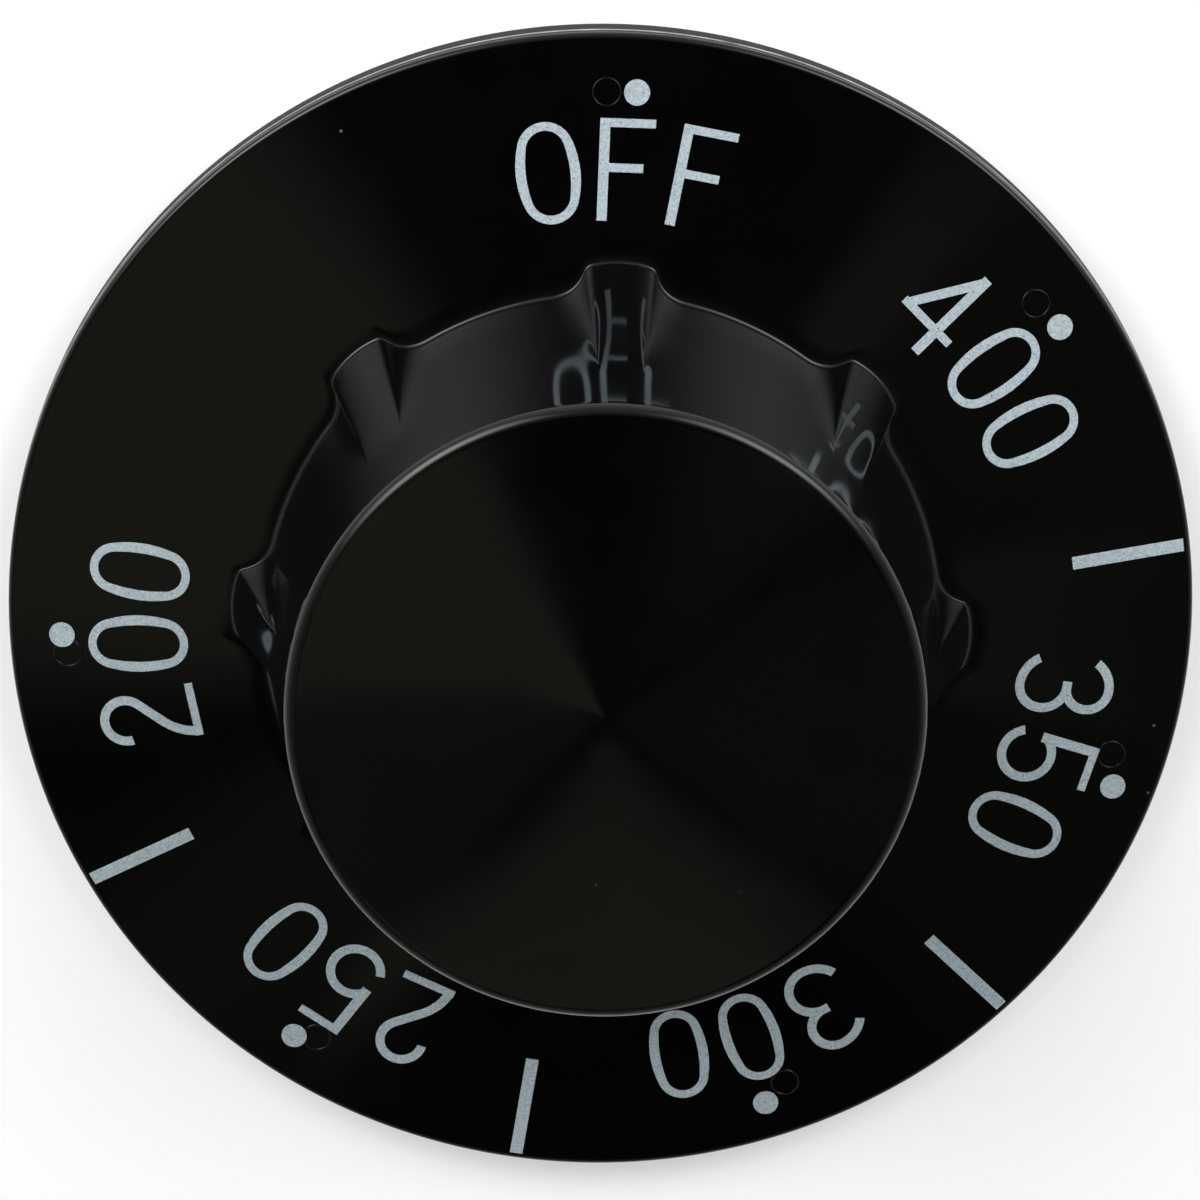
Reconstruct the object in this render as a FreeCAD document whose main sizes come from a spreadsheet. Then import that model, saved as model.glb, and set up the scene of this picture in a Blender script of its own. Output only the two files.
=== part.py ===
# Oven control knob: a flared dial skirt with a ribbed grip, moulded in one piece, a spring band that holds
# the split stem on its shaft, and the white dial print. Millimetres and degrees. The back rim lies on z = 0,
# the grip points along +Z and the OFF mark points along +Y.
import FreeCAD, Part
import math
import os

import Sketcher
from FreeCAD import Placement, Rotation, Vector

doc = FreeCAD.newDocument("oven_control_knob")

# Driving dimensions
SIZES = {
    # skirt
    "skirt_width": 13.05,
    "skirt_slope": 8.7,
    "skirt_wall": 2.0,
    "rim_height": 2.3,
    "rim_edge_radius": 0.35,
    "rim_lip_width": 1.6,
    # grip
    "grip_diameter": 34.2,
    "grip_length": 15.7,
    "grip_draft": 4.65,
    "grip_wall": 2.2,
    "face_rise": 0.7,
    "face_wall": 2.4,
    "face_edge_radius": 0.6,
    # finger ribs
    "rib_count": 8,
    "rib_height": 1.6,
    "rib_length": 9.2,
    "rib_width": 3.7,
    "rib_front_width": 2.1,
    "rib_face_radius": 6.0,
    "rib_flank_width": 1.6,
    "rib_flank_radius": 2.2,
    "rib_foot_sink": 0.1,
    # stem that takes the shaft
    "stem_diameter": 12.0,
    "stem_setback": 1.0,
    "web_count": 4,
    "web_thickness": 1.4,
    "web_setback": 7.0,
    "slit_width": 1.2,
    "slit_depth": 7.0,
    "shaft_diameter": 6.35,
    "shaft_across_flat": 4.75,
    "shaft_clearance": 0.05,
    "mouth_clearance": 0.25,
    "mouth_depth": 5.0,
    "flat_depth": 8.0,
    # spring band round the stem
    "band_thickness": 0.6,
    "band_width": 2.6,
    "band_inset": 1.2,
    "band_seat_depth": 0.45,
    "band_opening": 50.0,
    # dial print
    "ink_thickness": 0.06,
    "ink_rib_gap": 0.4,
    "print_turn": 0.4,
    "print_shift_right": 0.18,
    "print_shift_down": 0.35,
    "mark_spacing": 53.0,
    "dot_diameter": 1.3,
    "dot_inset": 2.55,
    "tick_width": 0.65,
    "tick_length": 6.2,
    "label_inset": 6.43,
    "glyph_pitch": 9.25,
    "glyph_height": 5.1,
    "figure_width": 3.0,
    "letter_width": 3.26,
    "upright_stroke": 0.51,
    "level_stroke": 0.42,
    # moulded circles beside the dots
    "circle_diameter": 1.4,
    "circle_depth": 0.05,
    "circle_inset": 2.93,
    "circle_turn": 2.4,
}
# Labels clockwise from the top, each with the angle by which its middle glyph lies before its dot
LABELS = {"OFF": 1.0, "400": 0.5, "350": 1.0, "300": 1.0, "250": 1.0, "200": 1.0}

sheet = doc.addObject("Spreadsheet::Sheet", "Sizes")
for row, (alias, value) in enumerate(SIZES.items(), start=1):
    sheet.set(f"A{row}", alias)
    sheet.set(f"B{row}", str(value))
    sheet.setAlias(f"B{row}", alias)
doc.recompute()


def size(expression):
    """Value of an expression over the sheet's sizes."""
    return float(sheet.evalExpression(expression))


# Places worked out from the driving dimensions, as expressions
GRIP_RADIUS = "(Sizes.grip_diameter / 2)"
RIM_RADIUS = f"({GRIP_RADIUS} + Sizes.skirt_width)"
SKIRT_RISE = "tan(Sizes.skirt_slope * 1 deg)"
DRAFT_RISE = "tan(Sizes.grip_draft * 1 deg)"


def skirt_top(radius):
    """Height of the skirt's front surface at a radius."""
    return f"(Sizes.rim_height + ({RIM_RADIUS} - {radius}) * {SKIRT_RISE})"


GRIP_BASE = skirt_top(GRIP_RADIUS)
FACE_EDGE = f"({GRIP_BASE} + Sizes.grip_length)"
CEILING = f"({FACE_EDGE} - Sizes.face_wall)"


def grip_radius(height):
    """Radius of the grip between its ribs at a height."""
    return f"({GRIP_RADIUS} - ({height} - {GRIP_BASE}) * {DRAFT_RISE})"


FACE_RADIUS = grip_radius(FACE_EDGE)
STEM_RADIUS = "(Sizes.stem_diameter / 2)"
MOUTH_RADIUS = "(Sizes.shaft_diameter / 2 + Sizes.mouth_clearance)"
BORE_RADIUS = "(Sizes.shaft_diameter / 2 + Sizes.shaft_clearance)"
BORE_FLAT = "(Sizes.shaft_across_flat - Sizes.shaft_diameter / 2 + Sizes.shaft_clearance)"
BAND_SEAT_RADIUS = f"({STEM_RADIUS} - Sizes.band_seat_depth)"
BAND_OUTSIDE = f"({BAND_SEAT_RADIUS} + Sizes.band_thickness)"
BAND_FOOT = "(Sizes.stem_setback + Sizes.band_inset)"
BAND_HEAD = f"({BAND_FOOT} + Sizes.band_width)"


# Sketches and features
def origin_feature(body, role):
    """One of a body's own origin planes or axes."""
    return [feature for feature in body.Origin.OriginFeatures if feature.Role == role][0]


def new_sketch(body, name, role, height="0", yaw="0", roll="0"):
    """Sketch on one of the body's origin planes, raised and turned by expressions."""
    sketch = body.newObject("Sketcher::SketchObject", name)
    sketch.AttachmentSupport = [(origin_feature(body, role), "")]
    sketch.MapMode = "FlatFace"
    sketch.setExpression("AttachmentOffset.Base.z", height)
    sketch.setExpression("AttachmentOffset.Rotation.Yaw", yaw)
    sketch.setExpression("AttachmentOffset.Rotation.Roll", roll)
    return sketch


def drive(sketch, expression, kind, *places):
    """Adds a constraint whose value follows an expression."""
    index = sketch.addConstraint(Sketcher.Constraint(kind, *places, size(expression)))
    sketch.setExpression(f"Constraints[{index}]", expression)


BENT_IN = 1
BENT_OUT = -1


def outline(sketch, corners, arcs=None):
    """Closed outline, listed anticlockwise, with its corners at the given expressions. An edge that arcs
    lists, by the number of its first corner, is an arc of that radius, bent in or out."""
    arcs = arcs or {}
    points = [Vector(size(across), size(up), 0) for across, up in corners]
    ends = []
    for index, first in enumerate(points):
        second = points[(index + 1) % len(points)]
        if index in arcs:
            arc_radius, bend = arcs[index]
            radius = size(arc_radius)
            chord = second - first
            outward = Vector(chord.y, -chord.x, 0).normalize() * bend
            centre = (first + second) / 2 + outward * math.sqrt(radius**2 - (chord.Length / 2) ** 2)
            arc_ends = (second, first) if bend == BENT_IN else (first, second)
            start, end = [math.atan2(p.y - centre.y, p.x - centre.x) for p in arc_ends]
            whole = Part.Circle(centre, Vector(0, 0, 1), radius)
            sketch.addGeometry(Part.ArcOfCircle(whole, start, end), False)
            drive(sketch, arc_radius, "Radius", index)
            ends.append((2, 1) if bend == BENT_IN else (1, 2))
        else:
            sketch.addGeometry(Part.LineSegment(first, second), False)
            ends.append((1, 2))
    for index, (across, up) in enumerate(corners):
        first_end, last_end = ends[index]
        following = (index + 1) % len(corners)
        joined = Sketcher.Constraint("Coincident", index, last_end, following, ends[following][0])
        sketch.addConstraint(joined)
        for kind, axis, expression in (("DistanceX", -2, across), ("DistanceY", -1, up)):
            if expression == "0":
                sketch.addConstraint(Sketcher.Constraint("PointOnObject", index, first_end, axis))
            else:
                drive(sketch, expression, kind, -1, 1, index, first_end)


def circle(sketch, radius):
    """Circle about the sketch's origin."""
    sketch.addGeometry(Part.Circle(Vector(0, 0, 0), Vector(0, 0, 1), size(radius)), False)
    sketch.addConstraint(Sketcher.Constraint("Coincident", 0, 3, -1, 1))
    drive(sketch, radius, "Radius", 0)


def flatted_circle(sketch, radius, flat):
    """Circle about the sketch's origin, cut off by a flat at a distance above it."""
    rise = math.asin(size(flat) / size(radius))
    round_part = Part.Circle(Vector(0, 0, 0), Vector(0, 0, 1), size(radius))
    sketch.addGeometry(Part.ArcOfCircle(round_part, math.pi - rise, 2 * math.pi + rise), False)
    half = size(radius) * math.cos(rise)
    sketch.addGeometry(Part.LineSegment(Vector(half, size(flat), 0), Vector(-half, size(flat), 0)), False)
    sketch.addConstraint(Sketcher.Constraint("Coincident", 0, 3, -1, 1))
    sketch.addConstraint(Sketcher.Constraint("Coincident", 0, 2, 1, 1))
    sketch.addConstraint(Sketcher.Constraint("Coincident", 0, 1, 1, 2))
    sketch.addConstraint(Sketcher.Constraint("Horizontal", 1))
    drive(sketch, radius, "Radius", 0)
    drive(sketch, flat, "DistanceY", -1, 1, 1, 1)


def turn(body, kind, name, sketch, angle="360"):
    """Sketch turned about the knob's axis, by the same angle to each side."""
    feature = body.newObject(f"PartDesign::{kind}", name)
    feature.Profile = sketch
    feature.ReferenceAxis = (sketch, ["V_Axis"])
    feature.Midplane = True
    feature.setExpression("Angle", angle)
    return feature


def extrude(body, kind, name, sketch, length, reverse=False):
    """Pad or pocket of a sketch over a length."""
    feature = body.newObject(f"PartDesign::{kind}", name)
    feature.Profile = sketch
    feature.Reversed = reverse
    feature.setExpression("Length", length)
    return feature


def repeat(body, name, feature, count, angle="360", clockwise=False):
    """Copies of a feature round the knob's axis."""
    pattern = body.newObject("PartDesign::PolarPattern", name)
    pattern.Originals = [feature]
    pattern.Axis = (origin_feature(body, "Z_Axis"), [""])
    pattern.Reversed = clockwise
    pattern.setExpression("Angle", angle)
    pattern.setExpression("Occurrences", count)
    body.Tip = pattern


def round_edge(body, name, edge_radius, height, fillet_radius):
    """Rounds the circular edge at a radius and a height."""
    doc.recompute()
    base = body.Tip
    place = (size(edge_radius), size(height))
    found = []
    for index, edge in enumerate(base.Shape.Edges, start=1):
        curve = edge.Curve
        if isinstance(curve, Part.Circle) and math.dist(place, (curve.Radius, curve.Center.z)) < 1e-4:
            found.append(f"Edge{index}")
    fillet = body.newObject("PartDesign::Fillet", name)
    fillet.Base = (base, found)
    fillet.setExpression("Radius", fillet_radius)
    body.Tip = fillet


# Knob body: skirt and grip turned about the axis, with the edges of rim and face rounded
knob = doc.addObject("PartDesign::Body", "knob_body")
form_sketch = new_sketch(knob, "form_sketch", "XZ_Plane")
outline(
    form_sketch,
    [
        ("0", "0"),
        (RIM_RADIUS, "0"),
        (RIM_RADIUS, "Sizes.rim_height"),
        (GRIP_RADIUS, GRIP_BASE),
        (FACE_RADIUS, FACE_EDGE),
        ("0", f"({FACE_EDGE} + Sizes.face_rise)"),
    ],
)
turn(knob, "Revolution", "form", form_sketch)
round_edge(knob, "rim_edge", RIM_RADIUS, "Sizes.rim_height", "Sizes.rim_edge_radius")
round_edge(knob, "face_edge", FACE_RADIUS, FACE_EDGE, "Sizes.face_edge_radius")

# Finger ribs: a slightly rounded outer face between two hollow flanks, which narrows and runs out in the grip
# towards the front. A rib's root lies in the skirt, and its far end under the grip's surface.
RIB_SUNK_SHARE = 0.2


def rib_section(name, height, width):
    """Section of the first rib at a height."""
    sketch = new_sketch(knob, name, "XY_Plane", height)
    length_left = f"({GRIP_BASE} + Sizes.rib_length - {height})"
    tip = f"({grip_radius(height)} + Sizes.rib_height * {length_left} / Sizes.rib_length)"
    half = f"({width} / 2)"
    bow = f"(Sizes.rib_face_radius - sqrt(Sizes.rib_face_radius ^ 2 - {half} ^ 2))"
    corner = f"({tip} - {bow})"
    spread = f"({half} + Sizes.rib_flank_width)"
    foot = f"(sqrt({grip_radius(height)} ^ 2 - {spread} ^ 2) - Sizes.rib_foot_sink)"
    root = f"({foot} - Sizes.grip_wall / 2)"
    outline(
        sketch,
        [
            (half, corner),
            (f"-{half}", corner),
            (f"-{spread}", foot),
            (f"-{spread}", root),
            (spread, root),
            (spread, foot),
        ],
        {
            0: ("Sizes.rib_face_radius", BENT_OUT),
            1: ("Sizes.rib_flank_radius", BENT_IN),
            5: ("Sizes.rib_flank_radius", BENT_IN),
        },
    )
    return sketch


rib = knob.newObject("PartDesign::AdditiveLoft", "rib")
rib_root = rib_section("rib_root", "Sizes.rim_height", "Sizes.rib_width")
rib_far_end = f"({GRIP_BASE} + Sizes.rib_length * {1 + RIB_SUNK_SHARE})"
rib_end = rib_section("rib_end", rib_far_end, "Sizes.rib_front_width")
rib.Profile = rib_root
rib.Sections = [rib_end]
rib.Ruled = True
repeat(knob, "ribs", rib, "Sizes.rib_count")

# Hollow back: the skirt's underside, the inside of the grip and the stem left standing in it
hollow_sketch = new_sketch(knob, "hollow_sketch", "XZ_Plane")
LIP_RADIUS = f"({RIM_RADIUS} - Sizes.rim_lip_width)"
HOLLOW_RADIUS = f"({GRIP_RADIUS} - Sizes.grip_wall)"
outline(
    hollow_sketch,
    [
        ("0", "0"),
        (LIP_RADIUS, "0"),
        (LIP_RADIUS, f"({skirt_top(LIP_RADIUS)} - Sizes.skirt_wall)"),
        (HOLLOW_RADIUS, f"({skirt_top(HOLLOW_RADIUS)} - Sizes.skirt_wall)"),
        (f"({grip_radius(CEILING)} - Sizes.grip_wall)", CEILING),
        (STEM_RADIUS, CEILING),
        (STEM_RADIUS, "Sizes.stem_setback"),
        ("0", "Sizes.stem_setback"),
    ],
)
turn(knob, "Groove", "hollow", hollow_sketch)

# Webs that tie the stem to the grip's wall, set into it by a share of its thickness
WEB_EMBEDDED_SHARE = 0.3
web_sketch = new_sketch(knob, "web_sketch", "XY_Plane", "Sizes.web_setback", yaw="180 / Sizes.web_count")
web_root = f"({STEM_RADIUS} - Sizes.web_thickness / 2)"
web_end = f"({grip_radius('Sizes.web_setback')} - Sizes.grip_wall * {1 - WEB_EMBEDDED_SHARE})"
web_half = "(Sizes.web_thickness / 2)"
outline(
    web_sketch,
    [(web_root, f"-{web_half}"), (web_end, f"-{web_half}"), (web_end, web_half), (web_root, web_half)],
)
web = extrude(knob, "Pad", "web", web_sketch, f"{CEILING} - Sizes.web_setback")
repeat(knob, "webs", web, "Sizes.web_count")

# Bore for the shaft: a wider round mouth, then a close stretch with the flat that turns the shaft
mouth_sketch = new_sketch(knob, "mouth_sketch", "XY_Plane", "Sizes.stem_setback")
circle(mouth_sketch, MOUTH_RADIUS)
extrude(knob, "Pocket", "bore_mouth", mouth_sketch, "Sizes.mouth_depth", reverse=True)
flat_sketch = new_sketch(knob, "flat_sketch", "XY_Plane", "Sizes.stem_setback + Sizes.mouth_depth")
flatted_circle(flat_sketch, BORE_RADIUS, BORE_FLAT)
extrude(knob, "Pocket", "bore_flat", flat_sketch, "Sizes.flat_depth", reverse=True)

# Slit across the stem's end, and the seat of the spring band round it
slit_sketch = new_sketch(knob, "slit_sketch", "XY_Plane", "Sizes.stem_setback")
slit_half = "(Sizes.slit_width / 2)"
outline(
    slit_sketch,
    [
        (f"-{STEM_RADIUS}", f"-{slit_half}"),
        (STEM_RADIUS, f"-{slit_half}"),
        (STEM_RADIUS, slit_half),
        (f"-{STEM_RADIUS}", slit_half),
    ],
)
extrude(knob, "Pocket", "slit", slit_sketch, "Sizes.slit_depth", reverse=True)


def ring_section(body, name, inside, outside):
    """Section of a ring round the stem, over the spring band's width."""
    sketch = new_sketch(body, name, "XZ_Plane")
    outline(sketch, [(inside, BAND_FOOT), (outside, BAND_FOOT), (outside, BAND_HEAD), (inside, BAND_HEAD)])
    return sketch


turn(knob, "Groove", "band_seat", ring_section(knob, "seat_sketch", BAND_SEAT_RADIUS, STEM_RADIUS))

# Faint moulded circles on the skirt, one for each mark
CIRCLE_RADIUS = f"({RIM_RADIUS} - Sizes.circle_inset)"
circle_height = skirt_top(CIRCLE_RADIUS)
circle_sketch = new_sketch(
    knob, "circle_sketch", "XY_Plane", circle_height, "Sizes.circle_turn", "-Sizes.skirt_slope"
)
circle_left = f"{CIRCLE_RADIUS} * sin(Sizes.circle_turn * 1 deg)"
circle_up = f"{CIRCLE_RADIUS} * cos(Sizes.circle_turn * 1 deg)"
circle_sketch.setExpression("AttachmentOffset.Base.x", f"-{circle_left}")
circle_sketch.setExpression("AttachmentOffset.Base.y", circle_up)
circle(circle_sketch, "Sizes.circle_diameter / 2")
moulded_circle = extrude(knob, "Pocket", "moulded_circle", circle_sketch, "Sizes.circle_depth")
marks_angle = f"Sizes.mark_spacing * {len(LABELS) - 1}"
repeat(knob, "moulded_circles", moulded_circle, str(len(LABELS)), marks_angle, clockwise=True)

# Spring band: a strip of spring steel bent to an open ring, seated round the split stem
band = doc.addObject("PartDesign::Body", "shaft_clip")
band_sketch = ring_section(band, "band_sketch", BAND_SEAT_RADIUS, BAND_OUTSIDE)
turn(band, "Revolution", "band", band_sketch, "360 - Sizes.band_opening")


# Dial print: strokes of ink laid on the skirt's cone. A glyph is drawn about its middle, its top at the rim.
def bar(first, second, stroke):
    """Straight stroke with square ends, between two points."""
    along = second - first
    side = Vector(-along.y, along.x, 0).normalize() * (stroke / 2)
    corners = [first - side, second - side, second + side, first + side]
    return Part.Face(Part.makePolygon(corners + corners[:1]))


def bend(centre, radius, start, end, stroke):
    """Stroke bent round a centre, between two angles anticlockwise from the right."""
    outer = Part.makeCircle(radius + stroke / 2, centre, Vector(0, 0, 1), start, end)
    inner = Part.makeCircle(radius - stroke / 2, centre, Vector(0, 0, 1), start, end)
    first_end = Part.makeLine(inner.firstVertex().Point, outer.firstVertex().Point)
    last_end = Part.makeLine(outer.lastVertex().Point, inner.lastVertex().Point)
    return Part.Face(Part.Wire(Part.__sortEdges__([outer, last_end, inner, first_end])))


OVAL_END_SHARE = 0.88


def oval(half_width, half_height):
    """Upright oval of four arcs, with slightly bowed sides."""
    end_radius = half_width * OVAL_END_SHARE
    end_up = half_height - end_radius
    side_radius = (half_width**2 + end_up**2 - end_radius**2) / (2 * (half_width - end_radius))
    side_back = side_radius - half_width
    reach = side_radius / math.hypot(side_back, end_up)
    shoulder = Vector(-side_back, 0, 0) + Vector(side_back, end_up, 0) * reach
    right, top = Vector(half_width, 0, 0), Vector(0, half_height, 0)
    corners = [Vector(x * shoulder.x, y * shoulder.y, 0) for x, y in ((1, -1), (1, 1), (-1, 1), (-1, -1))]
    throughs = [right, top, -right, -top]
    arcs = []
    for index, through in enumerate(throughs):
        arcs.append(Part.Arc(corners[index], through, corners[(index + 1) % 4]).toShape())
    return Part.Face(Part.Wire(arcs))


UPRIGHT = size("Sizes.upright_stroke")
LEVEL = size("Sizes.level_stroke")
STROKE = (UPRIGHT + LEVEL) / 2
TOP = size("Sizes.glyph_height") / 2
TOP_LINE = TOP - LEVEL / 2
HALF_FIGURE = size("Sizes.figure_width") / 2
HALF_LETTER = size("Sizes.letter_width") / 2


def ring_glyph(half_width):
    """Nought or letter O."""
    return [oval(half_width, TOP).cut(oval(half_width - UPRIGHT, TOP - LEVEL))]


def letter_f():
    """Letter F: a stem and two arms."""
    stem = -0.32 * size("Sizes.letter_width")
    top_end = stem + 0.78 * size("Sizes.letter_width")
    middle_end = stem + 0.61 * size("Sizes.letter_width")
    middle = 0.02 * size("Sizes.glyph_height")
    return [
        bar(Vector(stem, -TOP, 0), Vector(stem, TOP, 0), UPRIGHT),
        bar(Vector(stem, TOP_LINE, 0), Vector(top_end, TOP_LINE, 0), LEVEL),
        bar(Vector(stem, middle, 0), Vector(middle_end, middle, 0), LEVEL),
    ]


def figure_two():
    """Figure 2: a bowl, a slanting neck, a short bend and a foot."""
    radius = 0.73 * HALF_FIGURE
    centre = Vector(-0.1 * HALF_FIGURE, TOP - STROKE / 2 - radius, 0)
    neck = centre + Vector(1, -1, 0).normalize() * radius
    heel = Vector(-HALF_FIGURE + STROKE / 2, -TOP, 0)
    heel_radius = (heel.x - heel.y - neck.x + neck.y) / (math.sqrt(2) - 1)
    heel_centre = heel + Vector(heel_radius, 0, 0)
    heel_start = heel_centre + Vector(-1, 1, 0).normalize() * heel_radius
    foot = -TOP + LEVEL / 2
    foot_end = 0.88 * HALF_FIGURE
    bowl_end = 188
    return [
        bend(centre, radius, -45, bowl_end, STROKE),
        bar(neck, heel_start, STROKE),
        bend(heel_centre, heel_radius, 135, 180, STROKE),
        bar(Vector(heel.x - STROKE / 2, foot, 0), Vector(foot_end, foot, 0), LEVEL),
    ]


def figure_three():
    """Figure 3: two bowls that meet at a short bar, each with a flatter tail."""
    upper = 0.73 * HALF_FIGURE
    lower = TOP - STROKE / 2 - upper
    middle = Vector(-0.1 * HALF_FIGURE, TOP - STROKE / 2 - 2 * upper, 0)
    tail = 1.5 * upper
    tail_turn = 60
    upper_tail = middle + Vector(0, 2 * upper - tail, 0)
    lower_tail = middle - Vector(0, 2 * lower - tail, 0)
    return [
        bend(middle + Vector(0, upper, 0), upper, -90, 90, STROKE),
        bend(upper_tail, tail, 90, 90 + tail_turn, STROKE),
        bend(middle - Vector(0, lower, 0), lower, -90, 90, STROKE),
        bend(lower_tail, tail, -90 - tail_turn, -90, STROKE),
        bar(middle - Vector(0.2 * HALF_FIGURE, 0, 0), middle, STROKE),
    ]


def figure_four():
    """Figure 4: a stem, a crossbar and a slanting arm."""
    stem = 0.22 * HALF_FIGURE
    crossbar = -0.42 * TOP
    left, right = -1.33 * HALF_FIGURE, 0.87 * HALF_FIGURE
    return [
        bar(Vector(stem, -TOP, 0), Vector(stem, TOP, 0), UPRIGHT),
        bar(Vector(left, crossbar, 0), Vector(right, crossbar, 0), LEVEL),
        bar(Vector(left + UPRIGHT / 2, crossbar, 0), Vector(stem, TOP_LINE, 0), STROKE),
    ]


def figure_five():
    """Figure 5: a top arm, a stem and a bowl."""
    radius = 0.86 * HALF_FIGURE
    centre = Vector(-0.03 * HALF_FIGURE, -TOP + STROKE / 2 + radius, 0)
    bowl_start, bowl_end = -158, 145
    shoulder = centre + Rotation(Vector(0, 0, 1), bowl_end).multVec(Vector(radius, 0, 0))
    stem_top = Vector(-0.68 * HALF_FIGURE, TOP, 0)
    arm_end = 0.75 * HALF_FIGURE
    return [
        bar(Vector(stem_top.x - UPRIGHT / 2, TOP_LINE, 0), Vector(arm_end, TOP_LINE, 0), LEVEL),
        bar(stem_top, shoulder - Vector(0, STROKE / 2, 0), UPRIGHT),
        bend(centre, radius, bowl_start, bowl_end, STROKE),
    ]


GLYPHS = {
    "O": ring_glyph(HALF_LETTER),
    "F": letter_f(),
    "0": ring_glyph(HALF_FIGURE),
    "2": figure_two(),
    "3": figure_three(),
    "4": figure_four(),
    "5": figure_five(),
}

# Layer of ink that the strokes are cut from, lying on the skirt between the ribs and the rim's rounded edge
ink_rise = size("Sizes.ink_thickness / cos(Sizes.skirt_slope * 1 deg)")
ink_inside = size(f"{GRIP_RADIUS} + Sizes.rib_height + Sizes.ink_rib_gap")
ink_outside = size(f"{RIM_RADIUS} - Sizes.rim_edge_radius")
ink_corners = []
for radius, rise in ((ink_inside, 0), (ink_outside, 0), (ink_outside, ink_rise), (ink_inside, ink_rise)):
    ink_corners.append(Vector(radius, 0, size(skirt_top(str(radius))) + rise))
ink_section = Part.Face(Part.makePolygon(ink_corners + ink_corners[:1]))
ink_layer = ink_section.revolve(Vector(0, 0, 0), Vector(0, 0, 1), 360)
print_middle = Vector(size("Sizes.print_shift_right"), -size("Sizes.print_shift_down"), 0)


def print_strokes(strokes, radius, angle):
    """Strokes laid on the skirt at a radius and an angle clockwise from the top of the print."""
    faces = strokes[0] if len(strokes) == 1 else strokes[0].multiFuse(strokes[1:]).removeSplitter()
    tool = faces.extrude(Vector(0, 0, size(FACE_EDGE)))
    heading = Rotation(Vector(0, 0, 1), -angle - size("Sizes.print_turn"))
    tool.Placement = Placement(print_middle + heading.multVec(Vector(0, radius, 0)), heading)
    return tool.common(ink_layer).Solids


ink = []
label_radius = size(f"{RIM_RADIUS} - Sizes.label_inset")
dot_radius = size(f"{RIM_RADIUS} - Sizes.dot_inset")
rim_radius = size(RIM_RADIUS)
dot = Part.Face(Part.Wire(Part.makeCircle(size("Sizes.dot_diameter / 2"))))
tick_start = Vector(0, -size("Sizes.tick_length"), 0)
tick_end = Vector(0, size("Sizes.print_shift_right + Sizes.print_shift_down"), 0)
tick = bar(tick_start, tick_end, size("Sizes.tick_width"))
for mark, (label, lead) in enumerate(LABELS.items()):
    mark_angle = mark * size("Sizes.mark_spacing")
    ink += print_strokes([dot], dot_radius, mark_angle)
    for place, letter in enumerate(label):
        glyph_angle = mark_angle - lead + (place - 1) * size("Sizes.glyph_pitch")
        ink += print_strokes(GLYPHS[letter], label_radius, glyph_angle)
    if 0 < mark < len(LABELS) - 1:
        ink += print_strokes([tick], rim_radius, mark_angle + size("Sizes.mark_spacing") / 2)
dial_print = doc.addObject("Part::Feature", "dial_print")
dial_print.Shape = Part.makeCompound(ink)
dial_print.Placement = Placement()

# Every feature and sub-part is checked before anything is written
doc.recompute()
for item in doc.Objects:
    if "Invalid" in item.State or "Error" in item.State:
        raise RuntimeError(f"{item.Label} failed: {item.State}")
    if item.TypeId in ("PartDesign::Pocket", "PartDesign::Groove"):
        if item.Shape.Volume >= item.BaseFeature.Shape.Volume:
            raise RuntimeError(f"{item.Label} cuts nothing")
os.makedirs("parts", exist_ok=True)
sub_parts = (knob, band, dial_print)
for sub_part in sub_parts:
    if sub_part.Shape.isNull() or not sub_part.Shape.isValid():
        raise RuntimeError(f"{sub_part.Label} has no valid shape")
for sub_part in sub_parts:
    sub_part.Shape.exportStep(f"parts/{sub_part.Label}.step")
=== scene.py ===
import math

import bmesh
import bpy
import numpy as np
from mathutils import Matrix, Vector


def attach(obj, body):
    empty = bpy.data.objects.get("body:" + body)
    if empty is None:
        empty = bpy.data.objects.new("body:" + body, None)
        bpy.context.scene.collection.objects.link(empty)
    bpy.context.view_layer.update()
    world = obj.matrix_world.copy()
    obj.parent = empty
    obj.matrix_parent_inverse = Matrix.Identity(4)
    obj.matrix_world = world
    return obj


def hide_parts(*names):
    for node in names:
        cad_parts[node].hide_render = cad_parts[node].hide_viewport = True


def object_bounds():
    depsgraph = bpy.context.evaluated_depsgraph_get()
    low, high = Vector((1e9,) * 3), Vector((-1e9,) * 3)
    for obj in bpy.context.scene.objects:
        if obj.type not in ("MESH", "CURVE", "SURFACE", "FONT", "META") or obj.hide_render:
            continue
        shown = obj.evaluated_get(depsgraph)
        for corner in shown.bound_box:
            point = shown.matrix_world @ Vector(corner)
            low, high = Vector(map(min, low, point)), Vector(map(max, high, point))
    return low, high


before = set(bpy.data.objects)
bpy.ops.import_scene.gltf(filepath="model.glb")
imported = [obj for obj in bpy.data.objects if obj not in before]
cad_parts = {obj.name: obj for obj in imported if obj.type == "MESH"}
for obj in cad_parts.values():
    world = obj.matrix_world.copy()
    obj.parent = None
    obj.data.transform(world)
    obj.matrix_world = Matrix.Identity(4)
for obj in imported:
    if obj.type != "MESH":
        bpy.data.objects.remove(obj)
cad_low, cad_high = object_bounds()

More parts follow.
